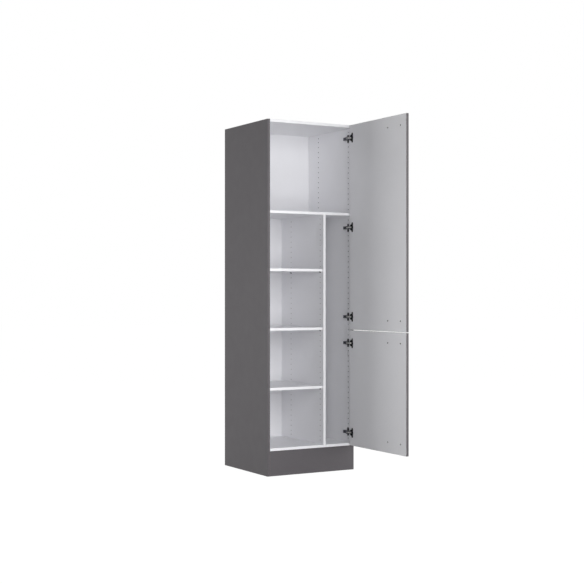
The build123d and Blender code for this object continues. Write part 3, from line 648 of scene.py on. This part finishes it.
class CABINET_OT_doors(bpy.types.Operator):
    """Door panels: white inside, grey outside and on the lipped edges, bored for hinges and handles"""

    bl_idname = "cabinet.doors"
    bl_label = "Doors"

    def execute(self, context):
        radius = context.scene.cabinet_finish.lipping / MM
        turn = np.linspace(0, np.pi / 2, EDGE_STEPS)
        for door in HINGE_Z:
            low, high = size_of(f"{door}_door_panel")
            thick, wide = high[0] - low[0], high[1] - low[1]
            # Rim rings: inset radius(1 - sin t) and depth radius(1 - cos t), mirrored on the outer face
            inset = radius * (1 - np.sin(turn))
            depth = radius * (1 - np.cos(turn))
            inset = np.concatenate([inset, inset[::-1]])
            depth = np.concatenate([depth, thick - depth[::-1]])
            p = np.stack([inset, wide - inset, wide - inset, inset], axis=1)
            z = np.stack([low[2] + inset, low[2] + inset, high[2] - inset, high[2] - inset], axis=1)
            rings, corners = p.shape
            x = np.repeat(low[0] + depth, corners)
            rim = np.column_stack([x, high[1] - p.ravel(), z.ravel()])
            outer_face = [tuple(range(corners * (rings - 1), corners * rings))]
            parts = [(rim, flip(loop_faces(rings, corners) + outer_face), 0)]

            levels = HINGE_Z[door].values()
            bores = [(CUP_SET, level, *CUP_BORE) for level in levels]
            bores += [(CUP_SET + EAR_SET, level + half, *CUP_SCREW_BORE)
                      for level in levels for half in (-EAR_SPAN / 2, EAR_SPAN / 2)]
            bores += [(hole, SPARE_Z[door], *SPARE_BORE) for hole in HANDLE_P]
            bores += [(hole, HANDLE_Z[door], *HANDLE_BORE) for hole in HANDLE_P]
            span_p, span_z = (radius, wide - radius), (low[2] + radius, high[2] - radius)
            parts += bored_face(span_p, span_z, bores, door_side(low[0], high[1], 0),
                                mirrored=False, face_slot=1, bore_slot=2)
            build_mesh(f"{door}_door_board", parts, ("grey", "white", "drilled"), f"{door}_door",
                       [f"{door}_door_panel"])
        return {"FINISHED"}


class CABINET_OT_hinges(bpy.types.Operator):
    """Concealed cup hinges with their plates, arms, links, pins and screws"""

    bl_idname = "cabinet.hinges"
    bl_label = "Hinges"

    def execute(self, context):
        heights = {number: z for door in HINGE_Z.values() for number, z in door.items()}
        paint([f"hinge_{n}_plate" for n in heights], "black")
        paint([f"hinge_{n}_{piece}" for n in heights for piece in ("arm", "inner_link")], "dark")
        paint([f"hinge_{n}_outer_link" for n in heights], "nickel")
        paint(["hinge_arm_pins"], "nickel")
        paint(["lower_cup_pins", "upper_cup_pins"], "black")

        # Up the outer wall, round the flange, over the rim and down the inside to the floor
        outline = cup_flange()
        section = [(CUP_R, -CUP_DEEP), (CUP_R, 0.0), (outline, 0.0), (outline, FLANGE_THICK - FLANGE_SOFT),
                   (outline - FLANGE_SOFT, FLANGE_THICK)]
        section += [(CUP_IN_R + out, FLANGE_THICK - down) for out, down in CUP_RIM]
        section += [(CUP_IN_R - inward, up - CUP_DEEP) for inward, up in CUP_CORNER]
        rings = turned(*zip(*section), FLANGE_SIDES)
        cup_y = DOOR_HIGH[1] - CUP_SET
        for door, levels in HINGE_Z.items():
            for number, z in levels.items():
                cup = closed_rings(rings, door_side(DOOR_LOW[0], cup_y, z))
                build_mesh(f"hinge_{number}_cup_pressed", [cup], ["black"], f"{door}_door",
                           [f"hinge_{number}_cup"], smooth=True)
            places = [(cup_y - EAR_SET, z + half)
                      for z in levels.values() for half in (-EAR_SPAN / 2, EAR_SPAN / 2)]
            add_screws(f"{door}_cup_screws", f"{door}_door", "black", places, DOOR_LOW[0] - FLANGE_THICK,
                       *CUP_SCREW)

        places = [(ROW_Y[0], z + half) for z in heights.values() for half in (-PITCH / 2, PITCH / 2)]
        add_screws("hinge_plate_screws", "carcass", "black", places, SIDE_LOW[0] - PLATE_THICK, *PLATE_SCREW)
        places = [(y, z) for z in heights.values() for y in ARM_SCREW_Y]
        add_screws("hinge_arm_screws", "carcass", "dark", places, SIDE_LOW[0] - ARM_TOP, *ARM_SCREW)
        return {"FINISHED"}


class CABINET_OT_handles(bpy.types.Operator):
    """Bow handles and their screws"""

    bl_idname = "cabinet.handles"
    bl_label = "Handles"

    def execute(self, context):
        soft, corner = HANDLE_SOFT, np.repeat(np.arange(4), SECTION_STEPS)
        turn = np.tile(np.linspace(0, np.pi / 2, SECTION_STEPS), 4) + corner * np.pi / 2
        for door in HANDLE_Z:
            low, high = size_of(f"{door}_handle")
            half_wide, rise = (high[2] - low[2]) / 2, high[0] - low[0]
            outer = bow_path(low[1], high[1], rise, HANDLE_OUT_R)
            inner = bow_path(low[1] + HANDLE_FOOT, high[1] - HANDLE_FOOT, rise - HANDLE_BAR, HANDLE_IN_R)
            centre, across = (outer + inner) / 2, outer - inner
            half = np.linalg.norm(across, axis=1, keepdims=True) / 2
            across = across / (2 * half)
            # Section of four corner centres (a, b), each with a quarter circle of radius soft about it
            a = np.array([1, -1, -1, 1])[corner] * (half - soft) + soft * np.cos(turn)
            b = np.array([1, 1, -1, -1])[corner] * (half_wide - soft) + soft * np.sin(turn)
            plan = centre[:, None, :] + across[:, None, :] * a[..., None]
            rings = np.dstack([plan, np.broadcast_to(b, a.shape)])[::-1]

            def place(points, origin=(low[0], 0.0, (low[2] + high[2]) / 2)):
                return points + np.array(origin)

            build_mesh(f"{door}_handle_bow", [closed_rings(rings, place)], ["brushed"], f"{door}_door",
                       [f"{door}_handle"], smooth=True)
            places = [(DOOR_HIGH[1] - hole, HANDLE_Z[door]) for hole in HANDLE_P]
            add_screws(f"{door}_handle_screws", f"{door}_door", "black", places, DOOR_LOW[0], *HANDLE_SCREW)
        return {"FINISHED"}


class CABINET_OT_stage(bpy.types.Operator):
    """White floor, soft studio light and the camera"""

    bl_idname = "cabinet.stage"
    bl_label = "Stage"

    def execute(self, context):
        scene, chosen = context.scene, context.scene.cabinet_stage
        camera_data = bpy.data.cameras.new("Camera")
        camera_data.lens = chosen.lens
        camera_data.sensor_width = FILM_WIDE
        camera_data.clip_end = VIEW_END
        camera = bpy.data.objects.new("Camera", camera_data)
        camera.location = chosen.eye
        camera.rotation_euler = (math.pi / 2, 0, chosen.turn)
        scene.collection.objects.link(camera)
        scene.camera = camera

        world = bpy.data.worlds.new("Studio")
        scene.world = world
        world.use_nodes = True
        tree = world.node_tree
        tree.nodes.clear()
        strength = add(tree, "ShaderNodeMix", [("Factor", seen_rays(tree))], data_type="FLOAT")
        strength.inputs["A"].default_value = chosen.sky
        strength.inputs["B"].default_value = 1.0
        light = add(tree, "ShaderNodeBackground", [("Strength", strength.outputs["Result"])])
        light.inputs["Color"].default_value = (1, 1, 1, 1)
        add(tree, "ShaderNodeOutputWorld", [("Surface", light.outputs[0])])

        for name, place, aim, size, power in LAMPS:
            lamp_data = bpy.data.lights.new(name, "AREA")
            lamp_data.shape = "RECTANGLE"
            lamp_data.size, lamp_data.size_y = size
            lamp_data.energy = power * chosen.key
            lamp = bpy.data.objects.new(name, lamp_data)
            lamp.location = place
            facing = mathutils.Vector(aim) - lamp.location
            lamp.rotation_euler = facing.to_track_quat("-Z", "Y").to_euler()
            scene.collection.objects.link(lamp)

        mesh = bpy.data.meshes.new("Floor")
        corners = [(x * FLOOR_REACH, y * FLOOR_REACH, 0) for x, y in ((-1, -1), (1, -1), (1, 1), (-1, 1))]
        mesh.from_pydata(corners, [], [(0, 1, 2, 3)])
        floor = bpy.data.objects.new("Floor", mesh)
        scene.collection.objects.link(floor)
        tree, surface, _ = new_material("White floor")
        surface.inputs["Base Color"].default_value = linear("#bcbcbc")
        surface.inputs["Roughness"].default_value = 0.8
        glow = add(tree, "ShaderNodeEmission", Strength=FLOOR_GLOW)
        part = add(tree, "ShaderNodeMath", [(0, seen_rays(tree))], operation="MULTIPLY")
        part.inputs[1].default_value = GLOW_SHARE
        links = [(0, part.outputs[0]), (1, surface.outputs[0]), (2, glow.outputs[0])]
        mix = add(tree, "ShaderNodeMixShader", links)
        output = next(node for node in tree.nodes if node.type == "OUTPUT_MATERIAL")
        tree.links.new(mix.outputs[0], output.inputs[0])
        mesh.materials.append(bpy.data.materials["White floor"])
        scene.view_settings.view_transform = "Standard"
        return {"FINISHED"}


class CABINET_PT_build(bpy.types.Panel):
    """Buttons for the cabinet's pieces"""

    bl_label = "Utility Cabinet"
    bl_space_type = "VIEW_3D"
    bl_region_type = "UI"
    bl_category = "Cabinet"

    def draw(self, context):
        for operator in OPERATORS:
            self.layout.operator(operator.bl_idname)
        for settings in (context.scene.cabinet_finish, context.scene.cabinet_stage):
            for name in settings.__annotations__:
                self.layout.prop(settings, name)


OPERATORS = (CABINET_OT_side_panels, CABINET_OT_cross_boards, CABINET_OT_doors, CABINET_OT_hinges,
             CABINET_OT_handles, CABINET_OT_stage)
CLASSES = (CabinetFinish, CabinetStage) + OPERATORS + (CABINET_PT_build,)


def register():
    """Add the classes and the settings."""
    for cls in CLASSES:
        bpy.utils.register_class(cls)
    bpy.types.Scene.cabinet_finish = bpy.props.PointerProperty(type=CabinetFinish)
    bpy.types.Scene.cabinet_stage = bpy.props.PointerProperty(type=CabinetStage)


def unregister():
    """Take the settings and the classes away."""
    del bpy.types.Scene.cabinet_stage
    del bpy.types.Scene.cabinet_finish
    for cls in reversed(CLASSES):
        bpy.utils.unregister_class(cls)


def main():
    """Build every piece."""
    register()
    for step in ("side_panels", "cross_boards", "doors", "hinges", "handles", "stage"):
        getattr(bpy.ops.cabinet, step)()


if __name__ == "__main__":
    main()
